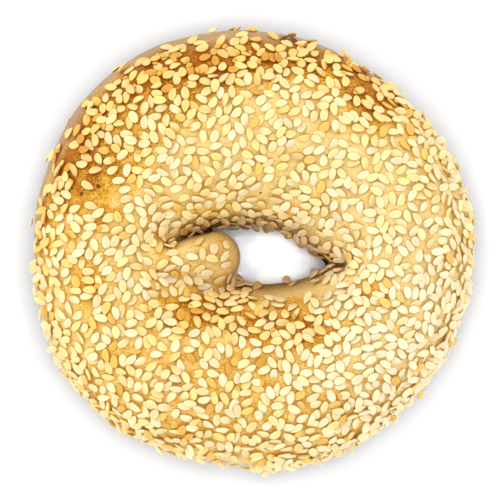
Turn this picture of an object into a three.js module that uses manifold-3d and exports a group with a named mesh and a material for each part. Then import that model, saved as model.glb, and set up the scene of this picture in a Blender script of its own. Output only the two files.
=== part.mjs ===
// A sesame bagel, baked from one rope of dough whose two ends were pressed together.
//
// Millimetres, +Z up. The bagel lies on its flat underside at z = 0, with the middle
// of its box over the origin. The rope end that was not pressed in stands as a bare
// knob in the -X end of the hole.

import * as THREE from 'three';
import { LoftGeometry } from 'three/addons/geometries/LoftGeometry.js';
import { mergeVertices } from 'three/addons/utils/BufferGeometryUtils.js';
import Module from 'manifold-3d';

// Driving dimensions of the bread
const BREAD_RADIUS = 53.2;          // mean radius of the baked dough, without the seeds
const BREAD_HEIGHT = 38;            // underside to crest where the ring is widest
const WAIST_HEIGHT = 16.5;          // level at which the ring is widest
const BELLY_DEPTH = 18.6;           // how far the lower round would reach below the waist
const WIDEST_HALF_WIDTH = 24;
const THIN_SIDE_NARROWING = 0.4;    // how much narrower the ring is on its thin side
const THIN_SIDE_HEIGHT = 0.9;       // crest height there, against the widest
const SECTION_FULLNESS = 0.97;      // 1 gives an ellipse, less gives a squarer section

// The ring is a little out of round: waves per turn, height of the wave, where it peaks
const OUTLINE_WAVES = [
  { waves: 1, height: 0.55, peak: 150 },
  { waves: 2, height: 0.48, peak: 135 },
  { waves: 3, height: 0.35, peak: 116 },
  { waves: 4, height: 0.28, peak: 27 },
  { waves: 5, height: 0.25, peak: 0 },
];

// The hole is a slanting slit that the dough closed from both sides. One point for
// each 30 degrees of the outer edge, from +X counterclockwise.
const HOLE_OUTLINE = [
  [18.5, -4.0], [14.8, -0.9], [9.8, 2.5], [2.7, 5.2], [-5.3, 5.6], [-12.8, 4.2],
  [-18.3, 1.0], [-14.8, -4.0], [-6.8, -7.3], [2.7, -8.5], [9.7, -7.7], [15.2, -6.1],
];

// The rope end: a blunt finger of dough along the hole, taller than it is wide
const KNOB_RADIUS = 6.4;
const KNOB_STRAIGHT = 14;           // straight stretch between its round ends
const KNOB_CENTRE = [-16, -2.3, 23];
const KNOB_TALLNESS = 1.6;          // height against width
const KNOB_TURN = 3;                // degrees, counterclockwise from +X

// Dough that fills the valley between the knob and the -Y side of the ring
const WEB_CENTRE = [-14, -7.6, 22];
const WEB_HALF_SIZES = [10, 4.6, 7.8];

// Sesame seeds
const SEED_LENGTH = 3.2;
const SEED_WIDTH = 2.05;
const SEED_THICKNESS = 0.9;
const SEED_TAPER = 0.22;            // how much wider the round end is than the pointed one
const SEED_GAP = 0.3;               // clearance to the crust
const RIM_SEEDS = 48;
const RIM_SEEDS_FROM = -148;        // degrees round the rim; the rest of the side is bare
const RIM_SEEDS_TO = 97;
const SEED_ROLL = [-6, 30];         // degrees above the waist
const SEED_LEAN = [2, 26];          // degrees out of the crust
const FULL_TURN = [0, 360];         // the pointed end may lie any way round
const SCATTER_STRIDES = { roll: 0.618, lean: 0.414, spin: 0.732 };

// Facets
const RING_STEPS = 100;
const SECTION_STEPS = 22;
const KNOB_END_STEPS = 7;
const KNOB_SIDES = 22;
const WEB_SIDES = 18;
const WEB_RINGS = 12;
const SEED_RINGS = 5;
const SEED_SIDES = 8;
const TANGENT_STEP = 0.002;         // radians between the points that give a tangent

const radians = THREE.MathUtils.degToRad;

const crust = new THREE.MeshStandardMaterial({ color: 0xd9a85c, roughness: 0.62, metalness: 0 });
const sesame = new THREE.MeshStandardMaterial({ color: 0xf6e2ac, roughness: 0.48, metalness: 0 });

const holeCurve = new THREE.CatmullRomCurve3(
  HOLE_OUTLINE.map(([x, y]) => new THREE.Vector3(x, y, 0)), true);

function outerEdge(turn) {
  let radius = BREAD_RADIUS;
  for (const { waves, height, peak } of OUTLINE_WAVES) {
    radius += height * Math.cos(waves * (turn - radians(peak)));
  }
  return new THREE.Vector3(radius * Math.cos(turn), radius * Math.sin(turn), 0);
}

// A point on the ring's surface: turn is the angle round the bagel, roll the angle
// round the section, 0 at the outer edge, a quarter turn at the crest.
function ringPoint(turn, roll) {
  const outer = outerEdge(turn);
  const inner = holeCurve.getPoint(THREE.MathUtils.euclideanModulo(turn / (2 * Math.PI), 1));
  const halfWidth = outer.distanceTo(inner) / 2;
  const narrowing = (1 - halfWidth / WIDEST_HALF_WIDTH) / THIN_SIDE_NARROWING;
  const crest = BREAD_HEIGHT * THREE.MathUtils.lerp(1, THIN_SIDE_HEIGHT, narrowing);
  const across = Math.sign(Math.cos(roll)) * Math.abs(Math.cos(roll)) ** SECTION_FULLNESS;
  const up = Math.abs(Math.sin(roll)) ** SECTION_FULLNESS;
  const reach = roll > 0 && roll < Math.PI ? crest - WAIST_HEIGHT : -BELLY_DEPTH;
  const point = inner.lerp(outer, (1 + across) / 2);
  point.z = Math.max(0, WAIST_HEIGHT + reach * up);
  return point;
}

function ringGeometry() {
  const belly = Math.asin((WAIST_HEIGHT / BELLY_DEPTH) ** (1 / SECTION_FULLNESS));
  const sections = [];
  for (let i = 0; i <= RING_STEPS; i++) {
    const turn = (i % RING_STEPS) / RING_STEPS * 2 * Math.PI;
    const section = [];
    for (let j = 0; j <= SECTION_STEPS; j++) {
      const roll = THREE.MathUtils.lerp(Math.PI + belly, -belly, j / SECTION_STEPS);
      section.push(ringPoint(turn, roll));
    }
    section[0].z = 0;
    section[SECTION_STEPS].z = 0;
    sections.push(section);
  }
  return new LoftGeometry(sections);
}

function knobGeometry() {
  const geometry = new THREE.CapsuleGeometry(
    KNOB_RADIUS, KNOB_STRAIGHT, KNOB_END_STEPS, KNOB_SIDES);
  geometry.rotateZ(-Math.PI / 2);
  geometry.rotateZ(radians(KNOB_TURN));
  geometry.scale(1, 1, KNOB_TALLNESS);
  geometry.translate(...KNOB_CENTRE);
  return geometry;
}

function webGeometry() {
  const geometry = new THREE.SphereGeometry(1, WEB_SIDES, WEB_RINGS);
  geometry.scale(...WEB_HALF_SIZES);
  geometry.translate(...WEB_CENTRE);
  return geometry;
}

function toSolid(wasm, source) {
  const positions = new THREE.BufferGeometry();
  positions.setAttribute('position', source.attributes.position);
  positions.setIndex(source.index);
  const geometry = mergeVertices(positions);
  return new wasm.Manifold(new wasm.Mesh({
    numProp: 3,
    vertProperties: new Float32Array(geometry.attributes.position.array),
    triVerts: new Uint32Array(geometry.index.array),
  }));
}

function toGeometry(solid) {
  const { vertProperties, triVerts } = solid.getMesh();
  const geometry = new THREE.BufferGeometry();
  geometry.setAttribute('position', new THREE.BufferAttribute(vertProperties, 3));
  geometry.setIndex(new THREE.BufferAttribute(triVerts, 1));
  geometry.computeVertexNormals();
  return geometry;
}

async function makeBread() {
  const wasm = await Module();
  wasm.setup();
  const ring = toSolid(wasm, ringGeometry());
  const bread = ring.add(toSolid(wasm, knobGeometry())).add(toSolid(wasm, webGeometry()));
  const mesh = new THREE.Mesh(toGeometry(bread), crust);
  mesh.name = 'bread';
  return mesh;
}

// A flattened teardrop along +X: pointed end at +X, flat faces towards +Z and -Z
function seedGeometry() {
  const profile = [new THREE.Vector2(0, -SEED_LENGTH / 2)];
  for (let i = 1; i <= SEED_RINGS; i++) {
    const along = -Math.cos(i / (SEED_RINGS + 1) * Math.PI);
    const width = Math.sqrt(1 - along * along) * (1 - SEED_TAPER * along) * SEED_WIDTH / 2;
    profile.push(new THREE.Vector2(width, along * SEED_LENGTH / 2));
  }
  profile.push(new THREE.Vector2(0, SEED_LENGTH / 2));
  const geometry = new THREE.LatheGeometry(profile, SEED_SIDES);
  geometry.rotateZ(-Math.PI / 2);
  geometry.scale(1, 1, SEED_THICKNESS / SEED_WIDTH);
  return geometry;
}

// Evenly scattered numbers within a range, the same on every run
function scatter(index, stride, [from, to]) {
  return THREE.MathUtils.lerp(from, to, (index * stride) % 1);
}

// A seed baked on at the edge, leaning out of the crust with one end
function makeRimSeed(index, geometry) {
  const along = (index + 0.5) / RIM_SEEDS;
  const turn = radians(THREE.MathUtils.lerp(RIM_SEEDS_FROM, RIM_SEEDS_TO, along));
  const roll = radians(scatter(index, SCATTER_STRIDES.roll, SEED_ROLL));
  const lean = radians(scatter(index, SCATTER_STRIDES.lean, SEED_LEAN));
  const spin = radians(scatter(index, SCATTER_STRIDES.spin, FULL_TURN));

  const point = ringPoint(turn, roll);
  const round = ringPoint(turn + TANGENT_STEP, roll).sub(point).normalize();
  const over = ringPoint(turn, roll + TANGENT_STEP).sub(point).normalize();
  const out = new THREE.Vector3().crossVectors(round, over).normalize();
  const side = new THREE.Vector3().crossVectors(out, round);

  const mesh = new THREE.Mesh(geometry, sesame);
  mesh.name = `rim_seed_${String(index + 1).padStart(2, '0')}`;
  mesh.quaternion.setFromRotationMatrix(new THREE.Matrix4().makeBasis(round, side, out));
  mesh.rotateZ(spin);
  mesh.rotateY(-lean);
  const lift = Math.hypot(Math.sin(lean) * SEED_LENGTH, Math.cos(lean) * SEED_THICKNESS) / 2;
  mesh.position.copy(point).addScaledVector(out, SEED_GAP + lift);
  return mesh;
}

const bagel = new THREE.Group();
bagel.add(await makeBread());
const oneSeed = seedGeometry();
for (let index = 0; index < RIM_SEEDS; index++) {
  bagel.add(makeRimSeed(index, oneSeed));
}

const box = new THREE.Box3().setFromObject(bagel);
const middle = box.getCenter(new THREE.Vector3());
bagel.position.set(-middle.x, -middle.y, -box.min.z);

export default bagel;
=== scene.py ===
import math

import bpy
import numpy as np
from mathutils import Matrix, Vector, noise
from mathutils.bvhtree import BVHTree
from mathutils.kdtree import KDTree


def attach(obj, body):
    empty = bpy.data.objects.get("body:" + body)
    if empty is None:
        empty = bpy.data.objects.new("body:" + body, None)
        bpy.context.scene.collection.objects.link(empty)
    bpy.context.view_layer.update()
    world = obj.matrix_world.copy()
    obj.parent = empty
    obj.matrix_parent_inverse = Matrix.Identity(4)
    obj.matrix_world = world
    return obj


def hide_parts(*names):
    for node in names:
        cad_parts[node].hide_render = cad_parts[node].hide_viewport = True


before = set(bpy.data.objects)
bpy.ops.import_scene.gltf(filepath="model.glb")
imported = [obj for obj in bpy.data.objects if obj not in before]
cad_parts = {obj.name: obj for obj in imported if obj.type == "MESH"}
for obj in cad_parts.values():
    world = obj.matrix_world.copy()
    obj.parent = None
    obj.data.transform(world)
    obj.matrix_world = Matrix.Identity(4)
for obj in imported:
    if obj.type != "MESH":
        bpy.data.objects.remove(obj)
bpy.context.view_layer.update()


# ---------------------------------------------------------------------------
# The table and the light. The bagel lies on a white table in a white room, under
# a wide soft lamp, and is looked at from straight above. A small lamp over the
# hole keeps the table white there, and a window lights the bagel from one side.
# ---------------------------------------------------------------------------

MM = 0.001                       # a millimetre in the frame's metres
scene = bpy.context.scene
scene.view_settings.view_transform = "Standard"

VIEW_HEIGHT = 620 * MM           # camera above the widest level of the bread
VIEW_ACROSS = 122.2 * MM         # what the square frame takes in at that level
WAIST = 16.5 * MM                # the level at which the bread is widest
AIM = (-1.2 * MM, -0.45 * MM)

lens_data = bpy.data.cameras.new("camera")
lens_data.lens = lens_data.sensor_width * VIEW_HEIGHT / VIEW_ACROSS
lens_data.clip_start = 0.01
lens_data.clip_end = 20
camera = bpy.data.objects.new("camera", lens_data)
camera.location = (*AIM, WAIST + VIEW_HEIGHT)
scene.collection.objects.link(camera)
scene.camera = camera


def link_mesh(name, vertices, faces):
    mesh = bpy.data.meshes.new(name)
    mesh.from_pydata(vertices, [], faces)
    mesh.update()
    thing = bpy.data.objects.new(name, mesh)
    scene.collection.objects.link(thing)
    return thing


def new_material(name):
    """A material with its nodes emptied, and a short way to add one to them."""
    material = bpy.data.materials.new(name)
    material.use_nodes = True
    tree = material.node_tree
    tree.nodes.clear()

    def add(kind, **settings):
        node = tree.nodes.new(kind)
        for key, value in settings.items():
            if key.startswith("in_"):
                node.inputs[key[3:].replace("_", " ")].default_value = value
            else:
                setattr(node, key, value)
        return node

    return material, add, tree.links.new


TABLE_HALF = 3.0                 # metres, so that no edge of the table shows

table_white, add, join = new_material("table_white")
shader = add("ShaderNodeBsdfPrincipled", in_Base_Color=(0.2, 0.2, 0.2, 1), in_Roughness=0.9)
join(shader.outputs[0], add("ShaderNodeOutputMaterial").inputs[0])
table = link_mesh("table", [(x * TABLE_HALF, y * TABLE_HALF, 0)
                            for x, y in ((-1, -1), (1, -1), (1, 1), (-1, 1))], [(0, 1, 2, 3)])
table.data.materials.append(table_white)

ROOM_LIGHT = 1.15

world = bpy.data.worlds.new("white_room")
world.use_nodes = True
world.node_tree.nodes["Background"].inputs["Color"].default_value = (1.0, 1.0, 1.0, 1)
world.node_tree.nodes["Background"].inputs["Strength"].default_value = ROOM_LIGHT
scene.world = world

# A lamp's place, target, size, spread in degrees and power. INCLUDE: it lights only the
# table. EXCLUDE: it lights all but the table.
HOLE_MIDDLE = (4.1 * MM, -2.1 * MM)
LAMPS = {
    "table_lamp": ((0, 0, 1.5), (0, 0, 0), 0.75, 180, 95, "INCLUDE"),
    "hole_lamp": ((*HOLE_MIDDLE, 1.3), (*HOLE_MIDDLE, 0), 0.02, 1.8, 0.010, "INCLUDE"),
    "window_side": ((-0.7, 0.75, 1.3), (0, 0, 0), 0.6, 180, 5.5, "EXCLUDE"),
}
for name, (place, target, size, spread, power, lights_table) in LAMPS.items():
    lamp = bpy.data.lights.new(name, "AREA")
    lamp.size = size
    lamp.spread = math.radians(spread)
    lamp.energy = power
    holder = bpy.data.objects.new(name, lamp)
    holder.location = place
    holder.rotation_euler = (Vector(target) - Vector(place)).to_track_quat("-Z", "Y").to_euler()
    scene.collection.objects.link(holder)
    lit = bpy.data.collections.new(f"lit_by_{name}")
    lit.objects.link(table)
    lit.collection_objects[0].light_linking.link_state = lights_table
    holder.light_linking.receiver_collection = lit


# ---------------------------------------------------------------------------
# The bread. A rope of dough bent round until its ends met and were pressed
# together; one end was missed and stands as a knob in the hole. Boiling gave it
# a tight smooth skin, and the oven browned the part that stood nearest its wall.
# ---------------------------------------------------------------------------

GRAIN = 0.62 * MM                # spacing of the surface points
SMOOTHINGS = 14                  # enough to lose the steps that the even grain leaves
LUMPS = [(17 * MM, 0.45 * MM), (6 * MM, 0.14 * MM)]   # size and height of the unevenness
CREASES = [                      # where the dough met itself: half width and line, in millimetres
    (0.9, [(-20.5, 1.0), (-16, 3.0), (-11.5, 4.3)]),
    (1.5, [(16, -3.2), (18.5, -3.4), (21.0, -3.6)]),
]
CREASE_DEPTH = 6 * MM
FLAT_BELOW = 0.3 * MM            # the underside lies flat on the table up to here
LUMPS_FROM = 3 * MM              # and the unevenness is at its full height this far above

cad_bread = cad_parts["bread"]
bread = bpy.data.objects.new("baked_dough", cad_bread.data.copy())
scene.collection.objects.link(bread)
remesh = bread.modifiers.new("even_skin", "REMESH")
remesh.mode = "VOXEL"
remesh.voxel_size = GRAIN
relax = bread.modifiers.new("relaxed_skin", "SMOOTH")
relax.factor = 0.5
relax.iterations = SMOOTHINGS
settled = bread.evaluated_get(bpy.context.evaluated_depsgraph_get())
bread.data = bpy.data.meshes.new_from_object(settled)
bread.modifiers.clear()


def read(collection, field, width=3):
    values = np.zeros(len(collection) * width, np.float64)
    collection.foreach_get(field, values)
    return values.reshape(-1, width)


def roughly(points, size, seed=0.0):
    """Smooth noise from -1 to 1 at each point, with features of the given size."""
    offset = Vector((seed, seed * 1.7, seed * 0.6))
    return np.array([noise.noise(Vector(p) / size + offset) for p in points])


skin = read(bread.data.vertices, "co")
outward = read(bread.data.vertex_normals, "vector")
free = np.clip((skin[:, 2] - FLAT_BELOW) / LUMPS_FROM, 0, 1)
for size, height in LUMPS:
    skin += outward * (roughly(skin, size) * height * free)[:, None]


def crease_at(points):
    """1 along the two pinched folds that run on from the ends of the hole."""
    x, y = points[:, 0] / MM, points[:, 1] / MM
    crease = np.zeros(len(points))
    for half_width, line in CREASES:
        for (start_x, start_y), (end_x, end_y) in zip(line, line[1:]):
            run_x, run_y = end_x - start_x, end_y - start_y
            along = ((x - start_x) * run_x + (y - start_y) * run_y) / (run_x ** 2 + run_y ** 2)
            along = np.clip(along, 0, 1)
            away = np.hypot(x - start_x - along * run_x, y - start_y - along * run_y)
            crease = np.maximum(crease, np.exp(-(away / half_width) ** 2))
    return crease * (points[:, 2] > WAIST)


skin[:, 2] -= crease_at(skin) * CREASE_DEPTH
bread.data.vertices.foreach_set("co", skin.ravel())
bread.data.update()


def patch(x, y, centre_x, centre_y, radius_x, radius_y, softness=0.35):
    """1 inside an oval spot on the crust, 0 outside, in millimetres."""
    away = np.hypot((x - centre_x) / radius_x, (y - centre_y) / radius_y)
    return np.clip((1 - away) / softness + 0.5, 0, 1)


# Spots that the oven browned: centre and radii in millimetres, and how brown; below 0 is paler
BROWNED = [
    (-29, 35, 20, 9, 0.55),
    (-18, 43.5, 13, 6.5, 0.85),
    (-33, 22, 9, 6, 0.45),
    (-43, 24, 7, 12, 0.65),
    (4, 45, 16, 5, 0.6),
    (29, 36, 10, 9, 0.5),
    (-12, -14.5, 12, 4.5, 0.7),
    (8, -19, 12, 4.5, 0.62),
    (-17, 45, 4, 2, 0.8),
    (-39, -9, 4, 6, 0.35),
    (-37, 13, 7, 6, 0.5),
    (6, 50, 24, 6, 0.55),
    (28, 43, 12, 7, 0.25),
    (26, 37, 6, 4, 0.5),
    (29, -11.5, 5.5, 3.5, 0.55),
    (38, -6, 22, 34, -0.3),
    (0, 24, 30, 10, -0.25),
    (-8, -34, 34, 14, 0.13),
]

SIDE_TOP = 12                    # millimetres up to the top of the pale side, all round
SIDE_RISE = 15                   # how much higher it reaches where it faces SIDE_FACES
SIDE_RAGGED = 1.8                # how far that edge strays up and down
SIDE_FACES = 118                 # degrees from +X
SIDE_TURN = 65                   # degrees over which it comes down again


def turned(degrees, middle):
    """How many degrees round the bagel a direction is from the middle one."""
    return np.abs((degrees - middle + 180) % 360 - 180)


def above_side(points):
    """How far, in millimetres, each point is above the top edge of the low side that
    stayed pale, and from 0 to 1 how much it is on the side where that edge is high."""
    x, y, z = (points / MM).T
    around = np.degrees(np.arctan2(y, x))
    facing = np.clip(1.5 - turned(around, SIDE_FACES) / SIDE_TURN, 0, 1)
    edge = SIDE_TOP + SIDE_RISE * facing ** 0.6
    return z - edge - SIDE_RAGGED * roughly(points, 8 * MM, 5.5), facing


OUTSIDE = 36                     # millimetres from the middle to where the side begins
TRAY_EDGE = 5                    # millimetres up to which the hot tray coloured the crust
STRAY = 3.0                      # millimetres that the edges of the browned spots stray
SHOULDER_BROWN = 0.6             # how brown the band along the top of the pale side is


def unbaked_side(points):
    """1 on the low side that stayed pale, 0 elsewhere and where it nears the tray."""
    far_out = np.clip((np.hypot(points[:, 0], points[:, 1]) / MM - OUTSIDE) / 6, 0, 1)
    off_tray = points[:, 2] / MM - TRAY_EDGE / 2 - 1.5 * roughly(points, 5 * MM, 2.2)
    pale = np.clip(0.5 - above_side(points)[0] / 5.5, 0, 1)
    return pale * far_out * np.clip(off_tray / TRAY_EDGE, 0, 1)


def browning(points):
    """How much the oven coloured the crust at each point: 1 is brown, below 0 is pale."""
    x, y = points[:, 0] / MM, points[:, 1] / MM
    x = x + STRAY * roughly(points, 9 * MM, 3.1)
    y = y + STRAY * roughly(points, 9 * MM, 8.4)
    above, facing = above_side(points)
    shoulder = np.exp(-((above - 3) / 4) ** 2) * np.clip(facing * 2 - 0.5, 0, 1)
    brown = SHOULDER_BROWN * shoulder * (np.hypot(x, y) > OUTSIDE)
    on_tray = np.clip(1.3 - points[:, 2] / (TRAY_EDGE * MM), 0, 1)
    brown = np.maximum(brown, on_tray * (0.55 + 0.35 * roughly(points, 12 * MM, 6.6)))
    for centre_x, centre_y, radius_x, radius_y, strength in BROWNED:
        spot = patch(x, y, centre_x, centre_y, radius_x, radius_y, 1.0)
        brown = 1 - (1 - brown) * (1 - strength * spot)
    return brown


HOLE_TOP = 33.7                  # millimetres up, where the painted shade on the walls begins
HOLE_DARK = 13                   # millimetres below that, the painted shade is full, as no light gets in
FOLD_SHADE = 0.9                 # the same painted shade in the folds, 0 is none and 1 is dark
KNOB_SHADE = 0.24                # painted shade on the knob, which lies a little lower than the ring round it
TIP_SHADE = 0.3                  # painted shade on its tip, which turns down into the hole
LIP_SHADE = 0.22                 # painted shade on the bare lip on the -Y side, which slopes into the hole


def depth_in_hole(points):
    """Painted shade by how deep in the hole or a fold each point is, and on the knob and the lip: 0
    at the crest, 1 where no light gets.
    """
    x, y, z = (points / MM).T
    inside = np.clip((1.15 - np.hypot((x + 0.5) / 22, (y + 1.8) / 10)) / 0.3, 0, 1)
    depth = inside * np.clip((HOLE_TOP - z) / HOLE_DARK, 0, 1)
    depth = np.maximum(depth, FOLD_SHADE * crease_at(points))
    knob = KNOB_SHADE * patch(x, y, -6, -1.8, 9, 5.5, 0.6)
    tip = TIP_SHADE * np.clip((x + 2) / 6, 0, 1) * patch(x, y, 0, -2, 8, 6)
    lip = LIP_SHADE * patch(x, y, 8, -11, 10, 3.5, 0.8)
    return np.maximum(depth, np.maximum(knob + tip, lip))


def store(mesh, name, values):
    mesh.attributes.new(name, "FLOAT", "POINT").data.foreach_set("value", values)


skin = read(bread.data.vertices, "co")
store(bread.data, "browning", browning(skin))
store(bread.data, "pale_side", unbaked_side(skin))
# painted shade for the hole, the folds, the knob and the lip
store(bread.data, "depth_in_hole", depth_in_hole(skin))
bread.data.shade_smooth()


def srgb(red, green, blue):
    """A colour as seen on a screen, 0 to 255, as the shader's linear numbers."""
    return tuple((c / 255) ** 2.2 for c in (red, green, blue)) + (1.0,)


PALE_CRUST = srgb(241, 213, 140)
GOLDEN_CRUST = srgb(228, 174, 64)
BROWN_CRUST = srgb(160, 92, 6)
SIDE_DARK = srgb(142, 106, 70)
SIDE_LIGHT = srgb(200, 168, 130)
FRECKLE = srgb(226, 182, 112)    # what a freckle leaves of the colour under it
PAINTED_RECESS_TINT = (0.42, 0.30, 0.20, 1.0)   # painted shade: what is left of the colour deep in the hole

crust, add, join = new_material("crust")
where = add("ShaderNodeTexCoord")

# How brown it is: the browned spots, blotches, a fine mottle, and next to each seed oil browning
# with painted contact shade
brown = add("ShaderNodeAttribute", attribute_name="browning")
blotch = add("ShaderNodeTexNoise", in_Scale=300.0, in_Detail=6.0)
join(where.outputs["Object"], blotch.inputs["Vector"])
spread = add("ShaderNodeMath", operation="MULTIPLY_ADD")
spread.inputs[1].default_value = 0.9
spread.inputs[2].default_value = -0.45
join(blotch.outputs[0], spread.inputs[0])
mottle = add("ShaderNodeTexNoise", in_Scale=2100.0, in_Detail=4.0)
join(where.outputs["Object"], mottle.inputs["Vector"])
mottled = add("ShaderNodeMath", operation="MULTIPLY_ADD")
mottled.inputs[1].default_value = 1.5
mottled.inputs[2].default_value = -0.75
join(mottle.outputs[0], mottled.inputs[0])
oil_and_shade_near_seed = add("ShaderNodeAttribute", attribute_name="near_seed")
oil_and_contact_shade = add("ShaderNodeMath", operation="MULTIPLY")
oil_and_contact_shade.inputs[1].default_value = 0.22
join(oil_and_shade_near_seed.outputs["Fac"], oil_and_contact_shade.inputs[0])
total = brown
for part in (spread, mottled, oil_and_contact_shade):
    more = add("ShaderNodeMath", operation="ADD")
    join(total.outputs["Fac" if total is brown else 0], more.inputs[0])
    join(part.outputs[0], more.inputs[1])
    total = more
ramp = add("ShaderNodeValToRGB")
ramp.color_ramp.elements[0].color = PALE_CRUST
ramp.color_ramp.elements[1].color = BROWN_CRUST
ramp.color_ramp.elements.new(0.45).color = GOLDEN_CRUST
join(total.outputs[0], ramp.inputs[0])

# Where it stayed pale on the side: streaky, with a little of the baked colour through it
pale = add("ShaderNodeAttribute", attribute_name="pale_side")
side = add("ShaderNodeMix", data_type="RGBA")
streaks = add("ShaderNodeMix", data_type="RGBA")
streaks.inputs[6].default_value = SIDE_DARK
streaks.inputs[7].default_value = SIDE_LIGHT
join(mottle.outputs[0], streaks.inputs[0])
join(streaks.outputs[2], side.inputs[7])
patchy = add("ShaderNodeMapRange")
patchy.inputs["From Min"].default_value = 0.38
patchy.inputs["From Max"].default_value = 0.58
patchy.inputs["To Min"].default_value = 0.66
join(blotch.outputs[0], patchy.inputs[0])
pale_part = add("ShaderNodeMath", operation="MULTIPLY")
join(pale.outputs["Fac"], pale_part.inputs[0])
join(patchy.outputs[0], pale_part.inputs[1])
join(pale_part.outputs[0], side.inputs[0])

# Freckles where the sugar in the skin caught
freckles = add("ShaderNodeTexNoise", in_Scale=2400.0, in_Detail=3.0)
join(where.outputs["Object"], freckles.inputs["Vector"])
freckle_depth = add("ShaderNodeMapRange")
freckle_depth.inputs["From Min"].default_value = 0.52
freckle_depth.inputs["From Max"].default_value = 0.72
freckle_depth.inputs["To Max"].default_value = 0.85
join(freckles.outputs[0], freckle_depth.inputs[0])
speckled = add("ShaderNodeMix", data_type="RGBA", blend_type="MULTIPLY")
speckled.inputs[7].default_value = FRECKLE
join(freckle_depth.outputs[0], speckled.inputs[0])
join(ramp.outputs[0], speckled.inputs[6])
join(speckled.outputs[2], side.inputs[6])

# Pores, and a sheen that comes and goes
pores = add("ShaderNodeTexNoise", in_Scale=1400.0, in_Detail=3.0)
join(where.outputs["Object"], pores.inputs["Vector"])
bump = add("ShaderNodeBump", in_Strength=0.6, in_Distance=0.0004)
join(pores.outputs[0], bump.inputs["Height"])
sheen = add("ShaderNodeMapRange")
sheen.inputs["To Min"].default_value = 0.5
sheen.inputs["To Max"].default_value = 0.75
join(blotch.outputs[0], sheen.inputs[0])

shader = add("ShaderNodeBsdfPrincipled")
shader.inputs["Specular IOR Level"].default_value = 0.15
shader.inputs["Subsurface Weight"].default_value = 0.12
shader.inputs["Subsurface Radius"].default_value = (1.0, 0.5, 0.2)
shader.inputs["Subsurface Scale"].default_value = 0.002
# Painted shade: the colour is darkened deep in the hole, in the folds, on the knob and on the lip
painted_recess_amount = add("ShaderNodeAttribute", attribute_name="depth_in_hole")
painted_recess_mix = add("ShaderNodeMix", data_type="RGBA", blend_type="MULTIPLY")
painted_recess_mix.inputs[7].default_value = PAINTED_RECESS_TINT
join(painted_recess_amount.outputs["Fac"], painted_recess_mix.inputs[0])
join(side.outputs[2], painted_recess_mix.inputs[6])
join(painted_recess_mix.outputs[2], shader.inputs["Base Color"])
join(sheen.outputs[0], shader.inputs["Roughness"])
join(bump.outputs[0], shader.inputs["Normal"])
join(shader.outputs[0], add("ShaderNodeOutputMaterial").inputs[0])

bread.data.materials.clear()
bread.data.materials.append(crust)
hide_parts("bread")
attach(bread, "root")


# ---------------------------------------------------------------------------
# The sesame seeds. Hulled white seeds, pressed on while the dough was wet from
# boiling: flat teardrops lying every way, crowded where the ring was rolled in
# the tray of seeds and thin where it was handled.
# ---------------------------------------------------------------------------

rng = np.random.default_rng(7)
SEED_LENGTH = 3.35 * MM
SEED_WIDTH = 2.15 * MM
SEED_THICKNESS = 0.75 * MM
SEED_SPREAD = 0.06               # how much their length and width differ
SEED_BEND = 0.05                 # how much they are bent, in their own lengths
POINTED = (0.54, 0.76)           # 0.5 is as round as the other end, more is more pointed
SEED_RINGS = 8
SEED_SIDES = 14
SEED_KINDS = 24


def seed_kind():
    """One seed, pointed end at +X and flat faces up and down: its points, how near
    each is to the seed's thin border, and the faces."""
    length = SEED_LENGTH * rng.normal(1, SEED_SPREAD)
    width = SEED_WIDTH * rng.normal(1, SEED_SPREAD)
    thick = SEED_THICKNESS * rng.uniform(0.75, 1.1)
    pointed = rng.uniform(*POINTED)
    skew, curl = rng.normal(0, SEED_BEND), rng.normal(0, SEED_BEND)
    along = np.cos(np.linspace(math.pi, 0, SEED_RINGS + 2))[1:-1]
    turn = np.arange(SEED_SIDES) / SEED_SIDES * 2 * math.pi
    half = (1 - along) ** pointed * (1 + along) ** 0.5
    half /= half.max()
    x = np.repeat(along, SEED_SIDES)
    swell = np.repeat(half, SEED_SIDES)
    across = np.tile(np.cos(turn), SEED_RINGS)
    up = np.tile(np.sin(turn), SEED_RINGS)
    flat = np.sign(up) * np.abs(up) ** 0.75
    rim = np.maximum(np.abs(across), np.repeat(np.abs(along), SEED_SIDES) ** 4)
    points = np.stack([
        x * length / 2,
        across * swell * width / 2 + skew * length * (1 - x * x),
        flat * swell ** 0.7 * thick / 2 + curl * length * x * x,
    ], 1)
    ends = [[-length / 2, 0, curl * length], [length / 2, 0, curl * length]]
    points = np.vstack([points, ends])
    border = np.append(rim, [1, 1])
    faces = []
    for i in range(SEED_RINGS - 1):
        for j in range(SEED_SIDES):
            k = (j + 1) % SEED_SIDES
            faces.append((i * SEED_SIDES + j, i * SEED_SIDES + k,
                          (i + 1) * SEED_SIDES + k, (i + 1) * SEED_SIDES + j))
    first, last = SEED_RINGS * SEED_SIDES, SEED_RINGS * SEED_SIDES + 1
    top = (SEED_RINGS - 1) * SEED_SIDES
    for j in range(SEED_SIDES):
        k = (j + 1) % SEED_SIDES
        faces.append((first, k, j))
        faces.append((last, top + j, top + k))
    return points, border, faces


kinds = [seed_kind() for _ in range(SEED_KINDS)]

# Spots with few seeds: centre and radii in millimetres, and the share of seeds that held
BARE = [
    (-37.2, 13.5, 5.8, 4.8, 0.1),
    (-45, 22, 2.6, 2.6, 0.1),
    (25.5, 37.5, 3.2, 2.0, 0.1),
    (-16, 45, 3.0, 1.7, 0.1),
    (-41.5, -15, 2.0, 2.8, 0.1),
    (-39.3, -7, 1.8, 1.6, 0.1),
    (3, 13, 2.0, 2.6, 0.1),
    (8.5, -10.5, 8.5, 2.4, 0.12),
    (-11, -1.8, 9, 6.0, 0.45),
    (-7, -52, 8, 2.4, 0.2),
]
COVERED = [                      # no seed got in: under the fold over the knob, and on its tip
    (-8, 3.6, 6, 2.6),
    (-3.4, -0.5, 3.4, 4.5),
]
LOW_HOLE = 20                    # millimetres up, below which few seeds reached into the hole


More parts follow.
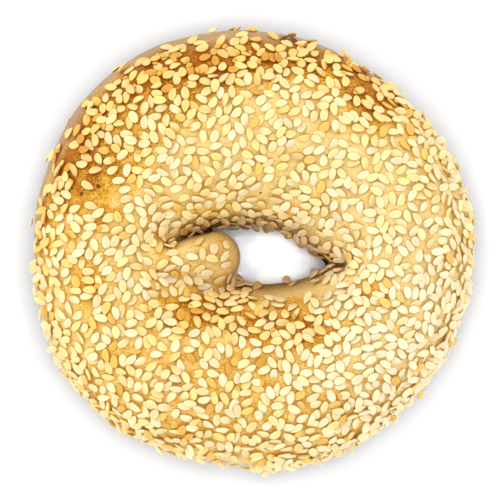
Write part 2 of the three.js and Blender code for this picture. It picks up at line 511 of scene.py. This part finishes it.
def seed_share(points, normals):
    """The chance, from 0 to 1, that a seed stuck at each point."""
    x, y, z = (points / MM).T
    share = np.ones(len(points))
    for centre_x, centre_y, radius_x, radius_y, held in BARE:
        spot = patch(x, y, centre_x, centre_y, radius_x, radius_y, 0.25)
        share *= 1 - (1 - held) * spot
    share *= 1 - 0.97 * unbaked_side(points)
    share *= np.clip((z - 4) / 6, 0, 1) * (crease_at(points) < 0.35)
    for centre_x, centre_y, radius_x, radius_y in COVERED:
        share *= np.hypot((x - centre_x) / radius_x, (y - centre_y) / radius_y) > 1
    in_hole = np.hypot((x - 2) / 22, (y + 2) / 9) < 1
    steep = normals[:, 2] < 0.1
    share[in_hole & (z < LOW_HOLE)] *= 0.15
    share[in_hole & steep] *= 0.4
    return share


def scatter(tries, closeness, share_of):
    """Drops seeds one by one where they keep clear of those already there: closeness 1
    is side by side, less lets them overlap. Then some fall off, as share_of says."""
    areas = read(bread.data.polygons, "area", 1).ravel()
    centres = read(bread.data.polygons, "center")
    facing = read(bread.data.polygons, "normal")
    chosen = rng.choice(len(areas), tries, p=areas / areas.sum())
    normals = facing[chosen]
    points = centres[chosen] + rng.uniform(-0.3, 0.3, (tries, 3)) * MM
    points -= normals * ((points - centres[chosen]) * normals).sum(1)[:, None]
    keep = share_of(points, normals) > 0.02
    spun = rng.normal(size=(tries, 3))
    spun -= normals * (spun * normals).sum(1)[:, None]
    spun /= np.linalg.norm(spun, axis=1)[:, None]
    before = len(placed)
    for i in np.flatnonzero(keep):
        try_seed(points[i], normals[i], spun[i], closeness)
    points = np.array([seed[0] for seed in placed[before:]])
    normals = np.array([seed[1] for seed in placed[before:]])
    stuck = rng.random(len(points)) < share_of(points, normals)
    placed[before:] = [seed for seed, held in zip(placed[before:], stuck) if held]


# A seed's outline as three discs: how far along it in its lengths, and radius in its widths
DISCS = np.array([[-0.26, 0.44], [0.02, 0.5], [0.30, 0.36]])
CELL = 3.6 * MM                  # no seed reaches past the cells next to its own
LOOSE_BELOW = 27 * MM            # on the side the seeds lean out of the crust
LEAN_LOOSE, LEAN_FIRM = 0.24, 0.1   # how far they lean there and on top, in radians
SHINGLE = 0.55                   # how far those at the rim turn up, like roof shingles
SHINGLED_OUTSIDE = 30 * MM       # it is the outer side that is shingled, the hole only a little
SHINGLED_MOST = -35              # degrees from +X, where most of them turned up
UP = np.array([0, 0, 1])
cells = {}
placed = []                      # point, normal, direction, height and lean of each seed


def cell_of(point):
    return tuple((point // CELL).astype(int))


def discs_of(point, direction):
    return point + DISCS[:, :1] * SEED_LENGTH * direction


def try_seed(point, normal, direction, closeness):
    """Places a seed if it has room. Where it lies on a neighbour, that end is lifted."""
    mine = discs_of(point, direction)
    i, j, k = cell_of(point)
    near = [s for a in (-1, 0, 1) for b in (-1, 0, 1) for c in (-1, 0, 1)
            for s in cells.get((i + a, j + b, k + c), ())]
    lift = np.zeros(len(DISCS))
    if near:
        others = np.concatenate(near)
        gap = np.linalg.norm(mine[:, None] - others[None], axis=2)
        radii = DISCS[:, 1] * SEED_WIDTH
        room = (gap / (radii[:, None] + np.tile(radii, len(near))[None])).min(1)
        if room.min() < closeness:
            return
        lift = np.clip((0.97 - room) / 0.3, 0, 1) * SEED_THICKNESS
    cells.setdefault((i, j, k), []).append(mine)
    own_lean = rng.normal(0, LEAN_LOOSE if point[2] < LOOSE_BELOW else LEAN_FIRM)
    height = rng.uniform(0.04, 0.22) * MM + lift.mean() + abs(own_lean) * SEED_LENGTH * 0.4
    lean = math.atan2(lift[-1] - lift[0], 0.56 * SEED_LENGTH) + own_lean
    steep = min(max((0.62 - normal[2]) / 0.3, 0), 1) * (point[2] > 12 * MM)
    if math.hypot(point[0], point[1]) > SHINGLED_OUTSIDE:
        around = math.atan2(point[1], point[0])
        steep *= 0.6 + 0.4 * math.cos(around - math.radians(SHINGLED_MOST))
    else:
        steep *= 0.25
    shingled = normal + UP * SHINGLE * steep * rng.uniform(0.3, 1)
    shingled /= np.linalg.norm(shingled)
    direction = direction - shingled * (direction @ shingled)
    direction /= np.linalg.norm(direction)
    height += 0.18 * SEED_LENGTH * SHINGLE * steep
    placed.append((point, shingled, direction, height, lean))


# The seeds of the rim are where the frame has them, and the others keep clear of them
rim_seeds = []
for node in sorted(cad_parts):
    if node.startswith("rim_seed"):
        body = read(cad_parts[node].data.vertices, "co")
        middle_point = (body.min(0) + body.max(0)) / 2
        spread_axes = np.linalg.svd(body - body.mean(0))[2]
        direction, normal = spread_axes[0], spread_axes[2]
        if (((body - body.mean(0)) @ direction) ** 3).sum() < 0:
            direction = -direction
        if normal @ (middle_point * (1, 1, 0)) < 0:
            normal = -normal
        rim_seeds.append((node, middle_point, normal, direction))
        cells.setdefault(cell_of(middle_point), []).append(discs_of(middle_point, direction))

scatter(tries=90000, closeness=0.66, share_of=seed_share)

CROWDED = -30                    # degrees from +X, where the ring was pressed hardest into the seeds
CROWDED_TURN = 80                # degrees over which that wears off
CROWDED_OUTSIDE = 17             # millimetres from the middle, where it begins


def crowding(points, normals):
    """Where a second helping of seeds landed on the first."""
    x, y, z = (points / MM).T
    around = np.degrees(np.arctan2(y, x))
    pressed = np.clip(1.2 - turned(around, CROWDED) / CROWDED_TURN, 0, 1)
    outer = np.clip((np.hypot(x, y) - CROWDED_OUTSIDE) / 10, 0, 1)
    share = 0.3 + 0.7 * pressed * outer
    return share * (seed_share(points, normals) > 0.6)


scatter(tries=30000, closeness=0.51, share_of=crowding)

# The crust next to a seed is darker: partly oil browning, partly painted contact shade
OIL_AND_SHADE_REACH = 0.7 * MM
discs = np.concatenate([discs_of(seed[0], seed[2]) for seed in placed])
nearest_disc = KDTree(len(discs))
for index, disc in enumerate(discs):
    nearest_disc.insert(Vector(disc), index)
nearest_disc.balance()
away = np.array([nearest_disc.find(Vector(p))[2] for p in skin]) - 0.45 * SEED_WIDTH
store(bread.data, "near_seed", np.clip(1 - away / OIL_AND_SHADE_REACH, 0, 1))


WHITEST = (36, -24)              # millimetres: the seeds are palest here
WHITEST_REACH = 45               # and the usual cream this far away
PAINTED_SEED_SHADE = np.array([0.55, 0.42, 0.36])   # painted shade: what is left of their colour deep in the hole


def seed_colours(points, scorch=0.0):
    """Each seed's colour: cream, some golden, a few browned, with painted shade on those deep
    in the hole. The more scorch, the more of them browned."""
    count = len(points)
    cream = np.array(srgb(253, 238, 198)[:3])
    white = np.array(srgb(255, 244, 214)[:3])
    straw = np.array(srgb(253, 228, 152)[:3])
    golden = np.array(srgb(246, 205, 108)[:3])
    burnt = np.array(srgb(212, 142, 34)[:3])
    toasted = browning(points) * 0.55 + rng.random(count) ** 9 + rng.normal(0, 0.05, count)
    if scorch:
        toasted += scorch * rng.random(count)
    toasted = np.clip(toasted - 0.1, 0, 1)[:, None]
    away = np.hypot(points[:, 0] / MM - WHITEST[0], points[:, 1] / MM - WHITEST[1])
    away /= WHITEST_REACH
    straws = rng.random(count) ** 1.4 * np.clip(away, 0.3, 1)
    colours = white + (cream - white) * np.clip(away, 0, 1)[:, None]
    colours = colours + (straw - colours) * straws[:, None]
    colours = colours + (golden - colours) * np.clip(toasted * 1.6, 0, 1)
    colours = colours + (burnt - colours) * np.clip(toasted * 2.2 - 1.5, 0, 1)
    # painted shade on the seeds deep in the hole and in the folds
    shade = 1 - (1 - PAINTED_SEED_SHADE) * depth_in_hole(points)[:, None]
    return colours * shade * rng.normal(1, 0.05, (count, 1)).clip(0.85, 1.12)


sesame, add, join = new_material("sesame")
where = add("ShaderNodeTexCoord")
# each seed's colour, with painted shade on those deep in the hole
seed_colour_and_shade = add("ShaderNodeAttribute", attribute_name="colour_and_painted_shade")
border = add("ShaderNodeAttribute", attribute_name="border")
stain = add("ShaderNodeTexNoise", in_Scale=700.0, in_Detail=2.0)
join(where.outputs["Object"], stain.inputs["Vector"])

# From the middle of a seed to its border: the clear skin thins, then darkens at the very edge,
# partly toasted skin and partly painted contact shade
across = add("ShaderNodeValToRGB")
across.color_ramp.elements[0].color = (0.90, 0.86, 0.76, 1)
across.color_ramp.elements[1].color = (0.42, 0.23, 0.06, 1)
for place, colour in ((0.42, (0.95, 0.92, 0.86, 1)), (0.62, (1, 1, 1, 1)),
                      (0.74, (1, 0.95, 0.80, 1)), (0.90, (0.80, 0.60, 0.30, 1))):
    across.color_ramp.elements.new(place).color = colour
join(border.outputs["Fac"], across.inputs[0])
deeper = add("ShaderNodeMix", data_type="RGBA", blend_type="MULTIPLY")
deeper.inputs[0].default_value = 1.0
join(across.outputs[0], deeper.inputs[7])
join(seed_colour_and_shade.outputs["Color"], deeper.inputs[6])
husk = add("ShaderNodeTexNoise", in_Scale=2600.0, in_Detail=2.0)
join(where.outputs["Object"], husk.inputs["Vector"])
bump = add("ShaderNodeBump", in_Strength=0.2, in_Distance=0.0002)
join(husk.outputs[0], bump.inputs["Height"])
gloss = add("ShaderNodeMapRange")
gloss.inputs["To Min"].default_value = 0.42
gloss.inputs["To Max"].default_value = 0.62
join(stain.outputs[0], gloss.inputs[0])
shader = add("ShaderNodeBsdfPrincipled")
shader.inputs["Specular IOR Level"].default_value = 0.3
shader.inputs["Subsurface Weight"].default_value = 0.25
shader.inputs["Subsurface Radius"].default_value = (1.0, 0.65, 0.3)
shader.inputs["Subsurface Scale"].default_value = 0.0008
join(deeper.outputs[2], shader.inputs["Base Color"])
join(gloss.outputs[0], shader.inputs["Roughness"])
join(bump.outputs[0], shader.inputs["Normal"])
join(shader.outputs[0], add("ShaderNodeOutputMaterial").inputs[0])


def seed_piece(name, seeds, sizes=None, colours=None):
    """One mesh of many seeds: each is (point, normal, direction, height, lean)."""
    if sizes is None:
        sizes = np.ones(len(seeds))
    vertices, faces, tint, border = [], [], [], []
    count = 0
    if colours is None:
        colours = seed_colours(np.array([s[0] for s in seeds]))
    for (point, normal, direction, height, lean), size, colour in zip(seeds, sizes, colours):
        shape, rim, shape_faces = kinds[rng.integers(SEED_KINDS)]
        side_axis = np.cross(normal, direction)
        roll = rng.normal(0, 0.2)
        up = normal * math.cos(roll) + side_axis * math.sin(roll)
        side_axis = np.cross(up, direction)
        ahead = direction * math.cos(lean) + up * math.sin(lean)
        up = np.cross(ahead, side_axis)
        placed_shape = size * shape @ np.stack([ahead, side_axis, up]) + point + normal * height
        vertices.append(placed_shape)
        faces.extend(tuple(v + count for v in face) for face in shape_faces)
        tint.append(np.tile(colour, (len(shape), 1)))
        border.append(rim * min(1, 0.76 + 0.3 * normal[2]))
        count += len(shape)
    piece = link_mesh(name, np.vstack(vertices).tolist(), faces)
    store(piece.data, "border", np.concatenate(border))
    seed_colour_and_shade = piece.data.attributes.new("colour_and_painted_shade", "FLOAT_COLOR", "POINT")
    seed_colour_and_shade.data.foreach_set("color", np.hstack([np.vstack(tint), np.ones((count, 1))]).ravel())
    piece.data.shade_smooth()
    piece.data.materials.append(sesame)
    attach(piece, "root")
    return piece


SECTORS = 12
sectors = [[] for _ in range(SECTORS)]
for seed in placed:
    turn = math.atan2(seed[0][1], seed[0][0]) / (2 * math.pi) % 1
    sectors[int(turn * SECTORS)].append(seed)
for number, seeds in enumerate(sectors, 1):
    seed_piece(f"sesame_coat_{number:02d}", seeds)


# ---------------------------------------------------------------------------
# The bits of husk. They came off the seeds in the tray, stuck to the wet dough
# with them and toasted; a few burnt, and three of those hang together at the rim.
# ---------------------------------------------------------------------------

HUSKS = 90
TOASTED_HUSK = srgb(236, 182, 78)
BURNT_HUSK = srgb(112, 66, 24)
BURNT_BITS = [                   # where, and how long, in millimetres
    (-37.1, 14.7, 1.5), (-41.2, 12.9, 1.3), (-46.1, 13.2, 0.6), (1.3, 13.2, 0.7),
    (-23.3, -5.4, 0.6), (-15.6, -12.4, 0.8), (-6.6, -17.1, 0.9), (-14.2, -16.5, 0.8),
    (-2.5, -19.5, 0.6), (9.5, -19.0, 1.0), (17, 22, 0.5), (-30, -33, 0.5),
    (6.8, 49.6, 2.3), (8.2, 50.3, 2.5), (9.2, 49.3, 1.8),
]
crust_tree = BVHTree.FromPolygons(skin.tolist(), [p.vertices[:] for p in bread.data.polygons])


def on_top(x, y):
    """The crust straight below a place: the point, its normal and any direction along it."""
    point, normal, _, _ = crust_tree.ray_cast(Vector((x * MM, y * MM, 1)), Vector((0, 0, -1)))
    normal = np.array(normal)
    direction = np.cross(normal, rng.normal(size=3))
    return np.array(point), normal, direction / np.linalg.norm(direction)


toasty = [seed for seed in placed if seed[1][2] > 0.35]
weights = 0.1 + np.clip(browning(np.array([seed[0] for seed in toasty])), 0, 1)
husks = [toasty[i] for i in rng.choice(len(toasty), HUSKS, False, weights / weights.sum())]
husks = [(p + 0.3 * SEED_LENGTH * d, n, np.cross(n, d), SEED_THICKNESS, rng.normal(0, 0.4))
         for p, n, d, _, _ in husks]
seed_piece("toasted_husks", husks, rng.uniform(0.4, 0.65, HUSKS),
           np.tile(TOASTED_HUSK[:3], (HUSKS, 1)))
bits = [(*on_top(x, y), (0.9 if length > 1.5 else 0.1) * MM, 0.3)
        for x, y, length in BURNT_BITS]
seed_piece("burnt_husks", bits, [length * MM / SEED_LENGTH for _, _, length in BURNT_BITS],
           np.tile(BURNT_HUSK[:3], (len(bits), 1)))


# ---------------------------------------------------------------------------
# The seeds of the rim. They stand out past the edge of the dough, baked in by one
# end, and many browned because they are out in the hot air.
# ---------------------------------------------------------------------------

SINK = 0.5                       # how far they are in, of the way to the crust
RIM_SCORCH = 0.9                 # how much the hot air browned them

sunk = [p + SINK * (np.array(crust_tree.find_nearest(Vector(p))[0]) - p)
        for _, p, _, _ in rim_seeds]
rim_piece = seed_piece("sesame_rim", [(p, n, d, 0.0, 0.0)
                                      for p, (_, _, n, d) in zip(sunk, rim_seeds)],
                       colours=seed_colours(np.array(sunk), RIM_SCORCH))
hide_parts(*[node for node, _, _, _ in rim_seeds])
